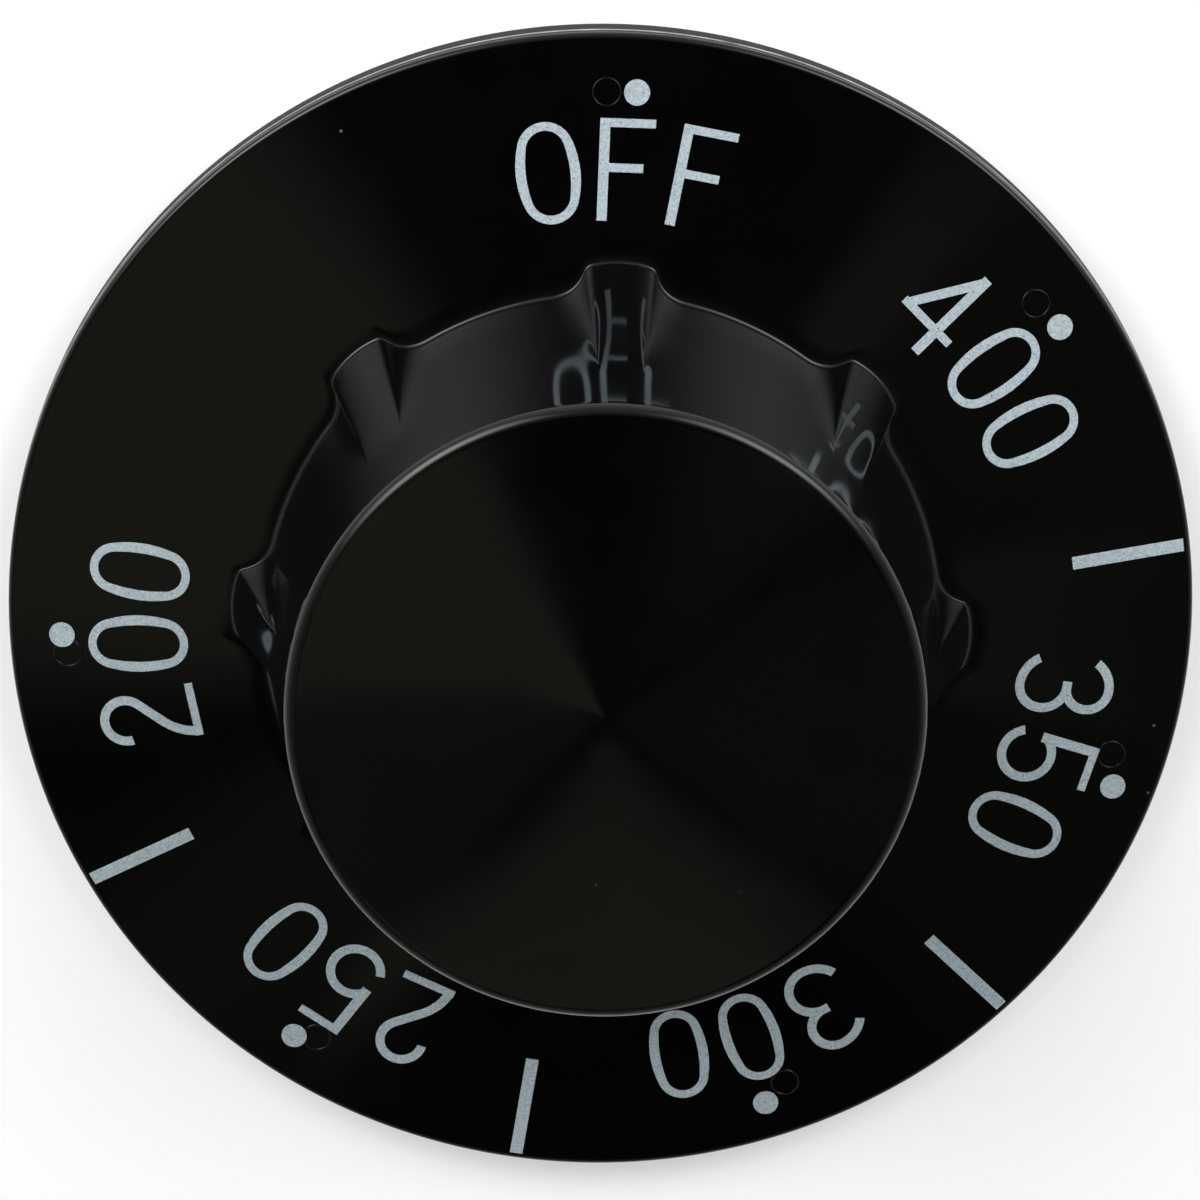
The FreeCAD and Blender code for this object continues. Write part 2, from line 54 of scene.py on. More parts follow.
# Knob body: one moulding of black plastic, polished by its mould. Dial skirt, ribbed grip and hollow back
# come out of the mould in one shot, with every outer edge a little rounded and the ribs running out softly
# in the grip. The mould parts round the rim, whose wall is duller and carries a pale band of painted
# highlight.
mm = 0.001
rim_radius = cad_high.x
rim_height = 2.3 * mm
rim_round = 0.28 * mm
rim_foot_round = 0.15 * mm
parting_height = 1.2 * mm
parting_step = 0.05 * mm
skirt_slope = math.radians(8.7)
skirt_wall = 2.0 * mm
grip_foot_radius = 17.1 * mm
grip_foot_round = 0.2 * mm
grip_draft = math.radians(4.65)
grip_length = 15.7 * mm
grip_wall = 2.2 * mm
face_round = 0.6 * mm
rib_count = 8
rib_height = 1.6 * mm
rib_length = 9.2 * mm
rib_width = 3.7 * mm
rib_front_width = 2.1 * mm
rib_bow = 0.14
rib_corner_round = 0.3 * mm
rib_flank_width = 1.75 * mm
rib_flank_lean = math.tan(math.radians(12))
rib_run_out = 0.3 * mm
sharp_angle = math.radians(32)


def skirt_height(radius):
    """Height of the skirt's front surface at a radius."""
    return rim_height + (rim_radius - radius) * math.tan(skirt_slope)


def grip_radius(height):
    """Radius of the grip between its ribs at a height."""
    return grip_foot_radius - (height - grip_foot) * math.tan(grip_draft)


grip_foot = skirt_height(grip_foot_radius)
face_edge = grip_foot + grip_length
face_radius = grip_radius(face_edge)
face_slope = math.atan((cad_high.z - face_edge) / face_radius)

# Columns of the mesh over half a rib's pitch: the rib's face, its rounded corner, its hollow flank, the gap
rib_face, rib_corner, rib_flank, rib_gap = slice(0, 8), slice(8, 14), slice(14, 31), slice(31, 45)
half_columns = rib_gap.stop
half_pitch = math.pi / rib_count
rib_far_share = 1.2
rib_far_end = grip_foot + rib_far_share * rib_length
flank_start = 0.12


def shares(block, first=0.0):
    """Even shares, up to just before 1, over a block of columns."""
    return np.linspace(first, 1, block.stop - block.start, endpoint=False)


def ribbed_grip(height):
    """Angle from a rib's middle and radius of the ribbed grip, for rows of heights over half a pitch."""
    rise = rib_height * (1 - (height - grip_foot) / rib_length)
    rise = np.maximum(rise, 0) + np.clip(rib_run_out - np.abs(rise), 0, None) ** 2 / (4 * rib_run_out)
    taper = (height - rim_height) / (rib_far_end - rim_height)
    half = (rib_width + (rib_front_width - rib_width) * taper) / 2
    corner_rise = rise * (1 - rib_bow)
    across, above = np.zeros_like(height), np.zeros_like(height)

    def on_face(block, distance):
        """Rise of the rib's bowed face at a distance from its middle."""
        return rise[:, block] * (1 - rib_bow * (distance / half[:, block]) ** 2)

    def on_flank(block, share):
        """Distance from the rib's middle and rise, at a share of the way down its hollow flank."""
        bend = 2 * share * (1 - share) * rib_flank_lean * corner_rise[:, block]
        return half[:, block] + bend + rib_flank_width * share**2, corner_rise[:, block] * (1 - share) ** 2

    across[:, rib_face] = (half[:, rib_face] - rib_corner_round) * shares(rib_face)
    above[:, rib_face] = on_face(rib_face, across[:, rib_face])

    share = shares(rib_corner)
    first = half[:, rib_corner] - rib_corner_round
    first_rise = on_face(rib_corner, first)
    last, last_rise = on_flank(rib_corner, flank_start)
    across[:, rib_corner] = first * (1 - share) ** 2 + last * share**2
    across[:, rib_corner] += 2 * half[:, rib_corner] * share * (1 - share)
    above[:, rib_corner] = first_rise * (1 - share) ** 2 + last_rise * share**2
    above[:, rib_corner] += 2 * corner_rise[:, rib_corner] * share * (1 - share)

    across[:, rib_flank], above[:, rib_flank] = on_flank(rib_flank, shares(rib_flank, flank_start))

    radius = grip_radius(height) + above
    angle = np.arctan2(across, radius)
    foot = np.arctan2(half + rib_flank_width, grip_radius(height))[:, rib_gap]
    angle[:, rib_gap] = foot + (half_pitch - foot) * np.linspace(0, 1, rib_gap.stop - rib_gap.start)
    return angle, radius


def round_the_knob(half_rows):
    """Rows over half a rib's pitch, mirrored and repeated right round: angle, radius and height."""
    angle, radius, height = half_rows
    mirrored = slice(half_columns - 2, 0, -1)
    angle = np.hstack([angle, 2 * half_pitch - angle[:, mirrored]])
    radius = np.hstack([radius, radius[:, mirrored]])
    height = np.hstack([height, height[:, mirrored]])
    turns = np.hstack([angle + 2 * half_pitch * rib for rib in range(rib_count)])
    return turns, np.tile(radius, rib_count), np.tile(height, rib_count)


def rounded_edge(edge_radius, edge_height, first_lean, last_lean, rounding, count):
    """Radii and heights round an edge, whose two surfaces lean from the level by the given angles."""
    normals = np.array([[math.sin(lean), math.cos(lean)] for lean in (first_lean, last_lean)])
    middle = np.array([edge_radius, edge_height])
    middle = middle - rounding * normals.sum(0) / (1 + normals[0] @ normals[1])
    leans = np.linspace(first_lean, last_lean, count)
    return middle[0] + rounding * np.sin(leans), middle[1] + rounding * np.cos(leans)


def ease(share):
    """Share from 0 to 1 with a soft start and end."""
    share = np.clip(share, 0, 1)
    return share * share * (3 - 2 * share)


column_count = 2 * (half_columns - 1) * rib_count
even_turns = np.arange(column_count) * math.tau / column_count


def even_rows(row_radii, row_heights):
    """Round rows with even columns, at the given radii and heights."""
    level = np.ones(column_count)
    return [(even_turns, r * level, z * level) for r, z in zip(row_radii, row_heights)]


# Front face and its rounded edge, from the middle outwards
tip_radius = 0.2 * mm
face_margin = 0.1 * mm
face_row_count, edge_row_count = 12, 11
edge_radii, edge_heights = rounded_edge(
    face_radius, face_edge, face_slope, math.pi / 2 - grip_draft, face_round, edge_row_count
)
face_radii = np.linspace(tip_radius, edge_radii[0] - face_margin, face_row_count)
rows = even_rows(face_radii, cad_high.z - face_radii * math.tan(face_slope))
rows += even_rows(edge_radii, edge_heights)

# Ribbed side of the grip, from the face's edge down to the skirt. Past the ribs' ends its columns even out.
plain_share = 0.72
plain_row_count, ribbed_row_count = 15, 44
foot_row = np.full((1, half_columns), grip_foot)
foot_angles, foot_radii = ribbed_grip(foot_row)
foot_heights = skirt_height(foot_radii)
side_start = foot_heights + grip_foot_round
side_shares = np.concatenate(
    [np.linspace(1, plain_share, plain_row_count)[1:], np.linspace(plain_share, 0, ribbed_row_count)[1:]]
)
side_heights = side_start + (edge_heights[-1] - side_start) * side_shares[:, None]
side_angles, side_radii = ribbed_grip(side_heights)
turns, radii, heights = round_the_knob((side_angles, side_radii, side_heights))
evening = ease((heights - rib_far_end) / (edge_heights[-1] - rib_far_end))
turns += (even_turns - turns) * evening
rows += list(zip(turns, radii, heights))

# Hollow round between grip and skirt, then the skirt, over which the columns even out, and the rounded rim
rim_margin = 0.05 * mm
hollow_row_count, skirt_row_count, rim_row_count, rim_foot_row_count = 6, 13, 9, 5
foot_rows = round_the_knob((foot_angles, foot_radii, foot_heights))
foot_turns, foot_radii, foot_heights = [row[0] for row in foot_rows]
skirt_starts = foot_radii + grip_foot_round
for share in np.linspace(0, 1, hollow_row_count)[1:]:
    side_part, foot_part, skirt_part = (1 - share) ** 2, 2 * share * (1 - share), share**2
    hollow_radii = radii[-1] * side_part + foot_radii * foot_part + skirt_starts * skirt_part
    hollow_heights = heights[-1] * side_part + foot_heights * foot_part
    hollow_heights += skirt_height(skirt_starts) * skirt_part
    rows.append((turns[-1] + (foot_turns - turns[-1]) * share, hollow_radii, hollow_heights))
rim_radii, rim_heights = rounded_edge(
    rim_radius, rim_height, skirt_slope, math.pi / 2, rim_round, rim_row_count
)
skirt_end = rim_radii[0] - rim_margin
for share in np.linspace(0, 1, skirt_row_count)[1:]:
    skirt_radii = skirt_starts + (skirt_end - skirt_starts) * share
    skirt_turns = foot_turns + (even_turns - foot_turns) * ease(share)
    rows.append((skirt_turns, skirt_radii, skirt_height(skirt_radii)))

# Wall of the rim: a small step at the parting line, with rows close by that keep the rest straight
steps_in = np.array([0, 0, 0.5, 1, 1])
steps_up = np.array([1.5, 0.6, 0, -0.6, -1.5])
parting_radii = rim_radius - parting_step * steps_in
parting_heights = parting_height + parting_step * steps_up
rim_foot = rim_radius - parting_step
rim_foot_radii, rim_foot_heights = rounded_edge(
    rim_foot, 0, math.pi / 2, math.pi, rim_foot_round, rim_foot_row_count
)
rows += even_rows(rim_radii, rim_heights)
rows += even_rows(parting_radii, parting_heights)
rows += even_rows(rim_foot_radii, rim_foot_heights)

# The rows become one skin, closed over the middle of the face and open at the back rim's foot
shell = bmesh.new()
tip = shell.verts.new((0, 0, cad_high.z - tip_radius / 2 * math.tan(face_slope)))
rings = []
for turns, radii, heights in rows:
    places = np.stack([radii * np.sin(turns), radii * np.cos(turns), heights], axis=-1)
    rings.append([shell.verts.new(place) for place in places])
for column in range(column_count):
    following = (column + 1) % column_count
    shell.faces.new((tip, rings[0][following], rings[0][column]))
    for inner, outer in zip(rings, rings[1:]):
        shell.faces.new((inner[column], inner[following], outer[following], outer[column]))

# The hollow back with its stem, webs, bore and slits is the solid's own, joined to the skin at the rim
back = bmesh.new()
back.from_mesh(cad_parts["knob_body"].data)
same_place = 0.0001 * mm
bmesh.ops.remove_doubles(back, verts=back.verts[:], dist=same_place)
outside = []
for face in back.faces:
    place = face.calc_center_median()
    reach = math.hypot(place.x, place.y)
    under_skirt = 0 < place.z < skirt_height(max(reach, grip_foot_radius)) - skirt_wall / 2
    in_grip = reach < grip_radius(place.z) - grip_wall / 2 and place.z < face_edge - grip_wall / 2
    if not (reach < rim_radius - rim_round and under_skirt or in_grip):
        outside.append(face)
bmesh.ops.delete(back, geom=outside, context="FACES")
back_mesh = bpy.data.meshes.new("back")
back.to_mesh(back_mesh)
back.free()
shell.from_mesh(back_mesh)
bpy.data.meshes.remove(back_mesh)
rims = [edge for edge in shell.edges if edge.is_boundary]
bmesh.ops.bridge_loops(shell, edges=rims)
bmesh.ops.recalc_face_normals(shell, faces=shell.faces[:])
body_mesh = bpy.data.meshes.new("knob_body")
shell.to_mesh(body_mesh)
shell.free()

# The back brings normals of its own, which don't fit the joined skin
body_mesh.attributes.remove(body_mesh.attributes["custom_normal"])
for polygon in body_mesh.polygons:
    polygon.use_smooth = True
body_mesh.set_sharp_from_angle(angle=sharp_angle)
knob_body = bpy.data.objects.new("moulded_body", body_mesh)
bpy.context.scene.collection.objects.link(knob_body)

# Finish of the moulding: deep black with a faint haze, a fine ripple and sparse dust
black_plastic = bpy.data.materials.new("black_plastic")
black_plastic.use_nodes = True
nodes, link = black_plastic.node_tree.nodes, black_plastic.node_tree.links.new
shader = nodes["Principled BSDF"]
shader.inputs["IOR"].default_value = 1.4
place = nodes.new("ShaderNodeTexCoord")
haze = nodes.new("ShaderNodeTexNoise")
haze.inputs["Scale"].default_value = 220
haze.inputs["Detail"].default_value = 4
polish = nodes.new("ShaderNodeMapRange")
polish.inputs["From Min"].default_value = 0.3
polish.inputs["From Max"].default_value = 0.7
polish.inputs["To Min"].default_value = 0.06
polish.inputs["To Max"].default_value = 0.1
tint = nodes.new("ShaderNodeValToRGB")
tint.color_ramp.elements[0].color = (0.0009, 0.0009, 0.001, 1)
tint.color_ramp.elements[1].color = (0.0014, 0.0014, 0.0015, 1)
ripple = nodes.new("ShaderNodeTexNoise")
ripple.inputs["Scale"].default_value = 900
ripple.inputs["Detail"].default_value = 2
skin = nodes.new("ShaderNodeBump")
skin.inputs["Strength"].default_value = 0.03
skin.inputs["Distance"].default_value = 0.02 * mm
dust = nodes.new("ShaderNodeTexVoronoi")
dust.inputs["Scale"].default_value = 420
speck = nodes.new("ShaderNodeValToRGB")
speck.color_ramp.elements[0].position = 0.02
speck.color_ramp.elements[0].color = (0.12, 0.115, 0.105, 1)
speck.color_ramp.elements[1].position = 0.04
speck.color_ramp.elements[1].color = (0.001, 0.001, 0.0011, 1)
pick = nodes.new("ShaderNodeSeparateColor")
sparse = nodes.new("ShaderNodeMath")
sparse.operation = "GREATER_THAN"
sparse.inputs[1].default_value = 0.9
colour = nodes.new("ShaderNodeMix")
colour.data_type = "RGBA"
for texture in (haze, ripple, dust):
    link(place.outputs["Object"], texture.inputs["Vector"])
link(haze.outputs["Fac"], polish.inputs["Value"])
link(haze.outputs["Fac"], tint.inputs["Fac"])
link(ripple.outputs["Fac"], skin.inputs["Height"])
link(skin.outputs["Normal"], shader.inputs["Normal"])
link(dust.outputs["Distance"], speck.inputs["Fac"])
link(dust.outputs["Color"], pick.inputs["Color"])
link(pick.outputs["Red"], sparse.inputs[0])
link(sparse.outputs["Value"], colour.inputs["Factor"])
link(tint.outputs["Color"], colour.inputs["A"])
link(speck.outputs["Color"], colour.inputs["B"])

# Finish of the rim's wall: duller than the rest, with a pale band of painted highlight round it at the
# parting line, broken up by noise
rim_reach, rim_core = 0.3 * mm, 0.1 * mm
wall_top = 2.0 * mm
wall_blur = 0.1 * mm
wall_roughness = 0.7
highlight_band_height = 1.55 * mm
highlight_band_reach, highlight_band_core = 0.18 * mm, 0.06 * mm
level = nodes.new("ShaderNodeVectorMath")
level.operation = "MULTIPLY"
level.inputs[1].default_value = (1, 1, 0)
reach = nodes.new("ShaderNodeVectorMath")
reach.operation = "LENGTH"
at_rim = nodes.new("ShaderNodeMapRange")
at_rim.inputs["From Min"].default_value = rim_radius - rim_reach
at_rim.inputs["From Max"].default_value = rim_radius - rim_core
height = nodes.new("ShaderNodeSeparateXYZ")
below_edge = nodes.new("ShaderNodeMapRange")
below_edge.inputs["From Min"].default_value = wall_top + wall_blur
below_edge.inputs["From Max"].default_value = wall_top - wall_blur
below_edge.inputs["To Max"].default_value = wall_roughness
dull_wall = nodes.new("ShaderNodeMath")
dull_wall.operation = "MULTIPLY"
finish = nodes.new("ShaderNodeMath")
finish.operation = "MAXIMUM"
above = nodes.new("ShaderNodeMath")
above.operation = "SUBTRACT"
above.inputs[1].default_value = highlight_band_height
apart = nodes.new("ShaderNodeMath")
apart.operation = "ABSOLUTE"
# Painted highlight: a pale band on the rim's wall at the parting line's height, standing in for the light
# that the line's ridge catches
painted_highlight_band = nodes.new("ShaderNodeMapRange")
painted_highlight_band.inputs["From Min"].default_value = highlight_band_reach
painted_highlight_band.inputs["From Max"].default_value = highlight_band_core
painted_highlight_band.inputs["To Max"].default_value = 0.85
highlight_breakup = nodes.new("ShaderNodeTexNoise")
highlight_breakup.inputs["Scale"].default_value = 700
highlight_breakup.inputs["Detail"].default_value = 6
highlight_breakup_share = nodes.new("ShaderNodeMapRange")
highlight_breakup_share.inputs["From Min"].default_value = 0.1
highlight_breakup_share.inputs["From Max"].default_value = 0.7
rim_highlight_band = nodes.new("ShaderNodeMath")
rim_highlight_band.operation = "MULTIPLY"
painted_highlight_share = nodes.new("ShaderNodeMath")
painted_highlight_share.operation = "MULTIPLY"
# The band's pale grey is painted highlight, mixed into the black plastic's colour by the band's share
painted_highlight_mix = nodes.new("ShaderNodeMix")
painted_highlight_mix.data_type = "RGBA"
painted_highlight_mix.inputs["B"].default_value = (0.62, 0.62, 0.63, 1)
link(place.outputs["Object"], level.inputs[0])
link(level.outputs["Vector"], reach.inputs[0])
link(reach.outputs["Value"], at_rim.inputs["Value"])
link(place.outputs["Object"], height.inputs["Vector"])
link(height.outputs["Z"], below_edge.inputs["Value"])
link(at_rim.outputs["Result"], dull_wall.inputs[0])
link(below_edge.outputs["Result"], dull_wall.inputs[1])
link(polish.outputs["Result"], finish.inputs[0])
link(dull_wall.outputs["Value"], finish.inputs[1])
link(finish.outputs["Value"], shader.inputs["Roughness"])
link(height.outputs["Z"], above.inputs[0])
link(above.outputs["Value"], apart.inputs[0])
link(apart.outputs["Value"], painted_highlight_band.inputs["Value"])
link(place.outputs["Object"], highlight_breakup.inputs["Vector"])
link(highlight_breakup.outputs["Fac"], highlight_breakup_share.inputs["Value"])
link(at_rim.outputs["Result"], rim_highlight_band.inputs[0])
link(painted_highlight_band.outputs["Result"], rim_highlight_band.inputs[1])
link(rim_highlight_band.outputs["Value"], painted_highlight_share.inputs[0])
link(highlight_breakup_share.outputs["Result"], painted_highlight_share.inputs[1])
link(painted_highlight_share.outputs["Value"], painted_highlight_mix.inputs["Factor"])
link(colour.outputs["Result"], painted_highlight_mix.inputs["A"])
link(painted_highlight_mix.outputs["Result"], shader.inputs["Base Color"])
knob_body.data.materials.append(black_plastic)
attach(knob_body, "root")
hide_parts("knob_body")

# Moulded circles: six fine rings of the skirt's own plastic, each a little anticlockwise of a dot. They come
# from pins in the mould, and stand only a few hundredths of a millimetre proud.
circle_count = 6
circle_turn = math.radians(2.4)
circle_spacing = math.radians(53)
circle_place = 27.22 * mm
circle_radius = 0.7 * mm
bead_radius = 0.045 * mm
bead_sink = bead_radius / 3
circle_steps, bead_steps = 56, 9
bead_turns = np.arange(bead_steps) * math.tau / bead_steps
circle_mesh = bmesh.new()
for circle in range(circle_count):
    turn = circle_spacing * circle - circle_turn
    middle = Matrix.Translation((0, circle_place, skirt_height(circle_place)))
    stand = Matrix.Rotation(-turn, 4, "Z") @ middle @ Matrix.Rotation(-skirt_slope, 4, "X")
    ring = []
    for around in np.arange(circle_steps) * math.tau / circle_steps:
        bead = []
        for turn_in_bead in bead_turns:
            across = circle_radius + bead_radius * math.cos(turn_in_bead)
            rise = bead_radius * math.sin(turn_in_bead) - bead_sink
            spot = Vector((across * math.cos(around), across * math.sin(around), rise))
            bead.append(circle_mesh.verts.new(stand @ spot))
        ring.append(bead)
    for first, second in zip(ring, ring[1:] + ring[:1]):
        for step in range(bead_steps):
            following = (step + 1) % bead_steps
            circle_mesh.faces.new((first[step], second[step], second[following], first[following]))
bmesh.ops.recalc_face_normals(circle_mesh, faces=circle_mesh.faces[:])
ring_mesh = bpy.data.meshes.new("moulded_circles")
circle_mesh.to_mesh(ring_mesh)
circle_mesh.free()
for polygon in ring_mesh.polygons:
    polygon.use_smooth = True
moulded_circles = bpy.data.objects.new("moulded_circles", ring_mesh)
bpy.context.scene.collection.objects.link(moulded_circles)
moulded_circles.data.materials.append(black_plastic)
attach(moulded_circles, "root")

# Spring band: a strip of spring steel, rolled to an open ring and snapped into the groove round the split
# stem. Its long edges are rounded by the rolling, and the brushing runs along the strip.
band_inside = 5.55 * mm
band_outside = 6.15 * mm
band_foot = 2.2 * mm
band_head = 4.8 * mm
band_opening = math.radians(50)
band_round = 0.12 * mm
band_steps, corner_steps = 111, 5
band_sharp_angle = math.radians(40)
band_section = []
for r, z, first_lean in (
    (band_outside - band_round, band_head - band_round, 0),
    (band_outside - band_round, band_foot + band_round, -90),
    (band_inside + band_round, band_foot + band_round, -180),
    (band_inside + band_round, band_head - band_round, -270),
):
    for lean in np.radians(first_lean + np.linspace(90, 0, corner_steps)):
        band_section.append((r + band_round * math.cos(lean), z + band_round * math.sin(lean)))
band_shape = bmesh.new()
band_rows = []
band_sweep = math.tau - band_opening
for around in math.pi + band_opening / 2 + np.linspace(0, band_sweep, band_steps):
    band_rows.append(
        [band_shape.verts.new((r * math.cos(around), r * math.sin(around), z)) for r, z in band_section]
    )
for first, second in zip(band_rows, band_rows[1:]):
    for corner in range(len(band_section)):
        band_shape.faces.new((first[corner - 1], first[corner], second[corner], second[corner - 1]))
band_shape.faces.new(band_rows[0])
band_shape.faces.new(band_rows[-1])
bmesh.ops.recalc_face_normals(band_shape, faces=band_shape.faces[:])
band_mesh = bpy.data.meshes.new("spring_band")
band_shape.to_mesh(band_mesh)
band_shape.free()
for polygon in band_mesh.polygons:
    polygon.use_smooth = True
band_mesh.set_sharp_from_angle(angle=band_sharp_angle)
spring_band = bpy.data.objects.new("spring_band", band_mesh)
bpy.context.scene.collection.objects.link(spring_band)

spring_steel = bpy.data.materials.new("spring_steel")
spring_steel.use_nodes = True
nodes, link = spring_steel.node_tree.nodes, spring_steel.node_tree.links.new
shader = nodes["Principled BSDF"]
shader.inputs["Metallic"].default_value = 1
place = nodes.new("ShaderNodeTexCoord")
stretch = nodes.new("ShaderNodeMapping")
stretch.inputs["Scale"].default_value = (60, 60, 6000)
brushing = nodes.new("ShaderNodeTexNoise")
brushing.inputs["Scale"].default_value = 3
brushing.inputs["Detail"].default_value = 5
steel_tint = nodes.new("ShaderNodeValToRGB")
steel_tint.color_ramp.elements[0].color = (0.42, 0.43, 0.45, 1)
steel_tint.color_ramp.elements[1].color = (0.6, 0.61, 0.63, 1)
steel_polish = nodes.new("ShaderNodeMapRange")
steel_polish.inputs["To Min"].default_value = 0.24
steel_polish.inputs["To Max"].default_value = 0.42
steel_skin = nodes.new("ShaderNodeBump")
steel_skin.inputs["Strength"].default_value = 0.15
steel_skin.inputs["Distance"].default_value = 0.01 * mm
link(place.outputs["Object"], stretch.inputs["Vector"])
link(stretch.outputs["Vector"], brushing.inputs["Vector"])
link(brushing.outputs["Fac"], steel_tint.inputs["Fac"])
link(brushing.outputs["Fac"], steel_polish.inputs["Value"])
link(brushing.outputs["Fac"], steel_skin.inputs["Height"])
link(steel_tint.outputs["Color"], shader.inputs["Base Color"])
link(steel_polish.outputs["Result"], shader.inputs["Roughness"])
link(steel_skin.outputs["Normal"], shader.inputs["Normal"])
spring_band.data.materials.append(spring_steel)
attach(spring_band, "root")
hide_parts("shaft_clip")

# Dial print: white ink with a trace of blue, pad printed on the skirt. The thin layer is a little mottled
# and has sparse pinholes, through which the black shows.
white_ink = bpy.data.materials.new("white_ink")
white_ink.use_nodes = True
nodes, link = white_ink.node_tree.nodes, white_ink.node_tree.links.new
shader = nodes["Principled BSDF"]
shader.inputs["Specular IOR Level"].default_value = 0.3
place = nodes.new("ShaderNodeTexCoord")
mottle = nodes.new("ShaderNodeTexNoise")
mottle.inputs["Scale"].default_value = 8000
mottle.inputs["Detail"].default_value = 4
ink_tint = nodes.new("ShaderNodeValToRGB")
ink_tint.color_ramp.elements[0].position = 0.3
ink_tint.color_ramp.elements[0].color = (0.28, 0.345, 0.375, 1)
ink_tint.color_ramp.elements[1].position = 0.65
ink_tint.color_ramp.elements[1].color = (0.47, 0.56, 0.6, 1)
pinhole = nodes.new("ShaderNodeTexVoronoi")
pinhole.inputs["Scale"].default_value = 5500
hole_size = nodes.new("ShaderNodeMapRange")
hole_size.inputs["From Min"].default_value = 0.1
hole_size.inputs["From Max"].default_value = 0.28
hole_pick = nodes.new("ShaderNodeSeparateColor")
hole_share = nodes.new("ShaderNodeMath")
hole_share.operation = "LESS_THAN"
hole_share.inputs[1].default_value = 0.82
covered = nodes.new("ShaderNodeMath")
covered.operation = "MAXIMUM"
ink_colour = nodes.new("ShaderNodeMix")
ink_colour.data_type = "RGBA"
ink_colour.inputs["A"].default_value = (0.06, 0.07, 0.075, 1)
ink_polish = nodes.new("ShaderNodeMapRange")
ink_polish.inputs["To Min"].default_value = 0.42
ink_polish.inputs["To Max"].default_value = 0.6
ink_skin = nodes.new("ShaderNodeBump")
ink_skin.inputs["Strength"].default_value = 0.12
ink_skin.inputs["Distance"].default_value = 0.02 * mm
for texture in (mottle, pinhole):
    link(place.outputs["Object"], texture.inputs["Vector"])
link(mottle.outputs["Fac"], ink_tint.inputs["Fac"])
link(mottle.outputs["Fac"], ink_polish.inputs["Value"])
link(mottle.outputs["Fac"], ink_skin.inputs["Height"])
link(pinhole.outputs["Distance"], hole_size.inputs["Value"])
link(pinhole.outputs["Color"], hole_pick.inputs["Color"])
link(hole_pick.outputs["Red"], hole_share.inputs[0])
link(hole_size.outputs["Result"], covered.inputs[0])
link(hole_share.outputs["Value"], covered.inputs[1])
link(covered.outputs["Value"], ink_colour.inputs["Factor"])
link(ink_tint.outputs["Color"], ink_colour.inputs["B"])
link(ink_colour.outputs["Result"], shader.inputs["Base Color"])
link(ink_polish.outputs["Result"], shader.inputs["Roughness"])
link(ink_skin.outputs["Normal"], shader.inputs["Normal"])
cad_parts["dial_print"].material_slots[0].material = white_ink

# Floor of the studio: a large sheet of matt white paper, laid flat under the knob's rim. It shows white to
# the camera and in mirrors, and keeps the knob's soft shadow.
half_floor = 3.0
floor_corners = [(x * half_floor, y * half_floor, 0) for x, y in ((-1, -1), (1, -1), (1, 1), (-1, 1))]
floor_mesh = bpy.data.meshes.new("floor")
floor_mesh.from_pydata(floor_corners, [], [(0, 1, 2, 3)])
floor = bpy.data.objects.new("floor", floor_mesh)
bpy.context.scene.collection.objects.link(floor)

paper = bpy.data.materials.new("paper")
paper.use_nodes = True
nodes, link = paper.node_tree.nodes, paper.node_tree.links.new
shader = nodes["Principled BSDF"]
shader.inputs["Base Color"].default_value = (0.6, 0.6, 0.6, 1)
shader.inputs["Roughness"].default_value = 0.9
shader.inputs["Specular IOR Level"].default_value = 0
shader.inputs["Emission Color"].default_value = (0.45, 0.45, 0.45, 1)
seen = nodes.new("ShaderNodeLightPath")
mirrored = nodes.new("ShaderNodeMath")
mirrored.operation = "MAXIMUM"
shown = nodes.new("ShaderNodeMath")
shown.operation = "MAXIMUM"
link(seen.outputs["Is Camera Ray"], mirrored.inputs[0])
link(seen.outputs["Is Glossy Ray"], mirrored.inputs[1])
link(mirrored.outputs["Value"], shown.inputs[0])
link(seen.outputs["Is Transmission Ray"], shown.inputs[1])
link(shown.outputs["Value"], shader.inputs["Emission Strength"])
floor.data.materials.append(paper)

# Camera: a long lens on a stand half a metre from the dial. It looks down on the dial from a little to the
# OFF side, with the dial turned slightly clockwise in view.
dial_turn = math.radians(3.0)
view_lean = math.radians(17.242)
view_side = math.radians(-0.772)
view_distance = 495.98 * mm
aim = Vector((-0.0516, 0.4633, 2.3)) * mm
lens = bpy.data.cameras.new("camera")
lens.sensor_width = 36
lens.lens = 292.35
camera = bpy.data.objects.new("camera", lens)
bpy.context.scene.collection.objects.link(camera)
level_share = math.cos(view_lean)
out = Vector((math.sin(view_side) * level_share, math.sin(view_lean), math.cos(view_side) * level_share))
right = Vector((0, 1, 0)).cross(out).normalized()
up = out.cross(right)
stand = Matrix((right, up, out)).transposed().to_4x4()
stand.translation = aim + out * view_distance
camera.matrix_world = Matrix.Rotation(dial_turn, 4, "Z") @ stand
lens.clip_start, lens.clip_end = 0.01, 10
bpy.context.scene.camera = camera
bpy.context.scene.view_settings.view_transform = "Standard"

# Studio light: two bright soft boxes low on the OFF side, which light the grip and the print, and dim warm
# panels over the knob, which its polished faces mirror. A tent of white cloth all round has a dark opening
# over the dial.
panel_distance = 1.2
right, sight = camera.matrix_world.col[0].xyz, camera.matrix_world.col[2].xyz
mirror = Vector((-sight.x, -sight.y, sight.z))


